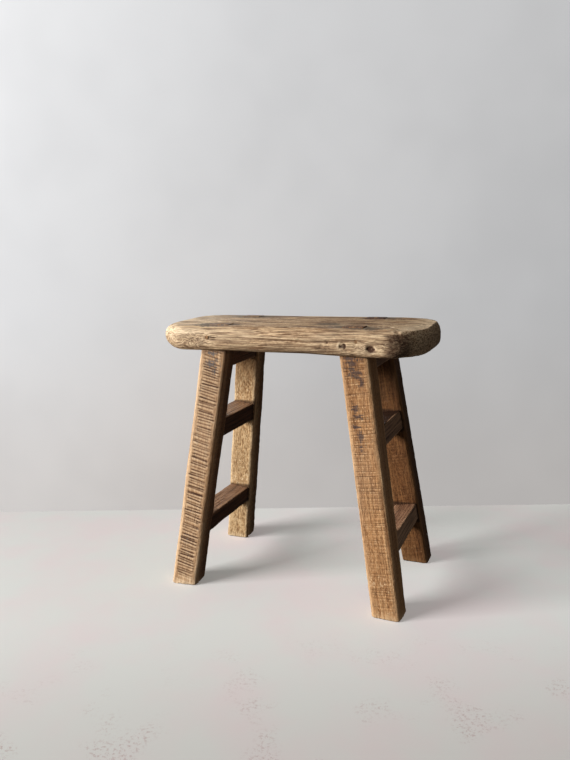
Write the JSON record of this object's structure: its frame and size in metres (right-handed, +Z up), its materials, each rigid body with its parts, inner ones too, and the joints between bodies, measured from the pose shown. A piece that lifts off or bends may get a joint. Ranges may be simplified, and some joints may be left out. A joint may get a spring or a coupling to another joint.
{
  "type": "stool",
  "caption": "Wooden plank stool with splayed legs through-tenoned into a thick seat and joined by cross rails at each end.",
  "frame": {"origin": "on the floor under the middle of the seat", "axes": "+Z up, +X along the seat's length, +Y across the seat's width towards the back legs"},
  "size_m": [0.475, 0.2606, 0.46],
  "materials": {
    "seat_wood": "worn, waxed by use, pale tan with grey streaks",
    "leg_wood": "rough sawn, weathered tan",
    "rail_wood": "rough sawn, weathered grey brown",
    "peg_wood": "dark end grain"
  },
  "bodies": {
    "root": {"seat": "seat_wood", "tenon_wedges": "peg_wood", "seat_pins": "peg_wood", "stretcher_pegs": "peg_wood", "leg_front_left": "leg_wood", "leg_front_right": "leg_wood", "leg_back_left": "leg_wood", "leg_back_right": "leg_wood", "top_rail_left": "rail_wood", "top_rail_right": "rail_wood", "middle_stretcher_left": "rail_wood", "middle_stretcher_right": "rail_wood", "lower_stretcher_left": "rail_wood", "lower_stretcher_right": "rail_wood"}
  },
  "joints": []
}
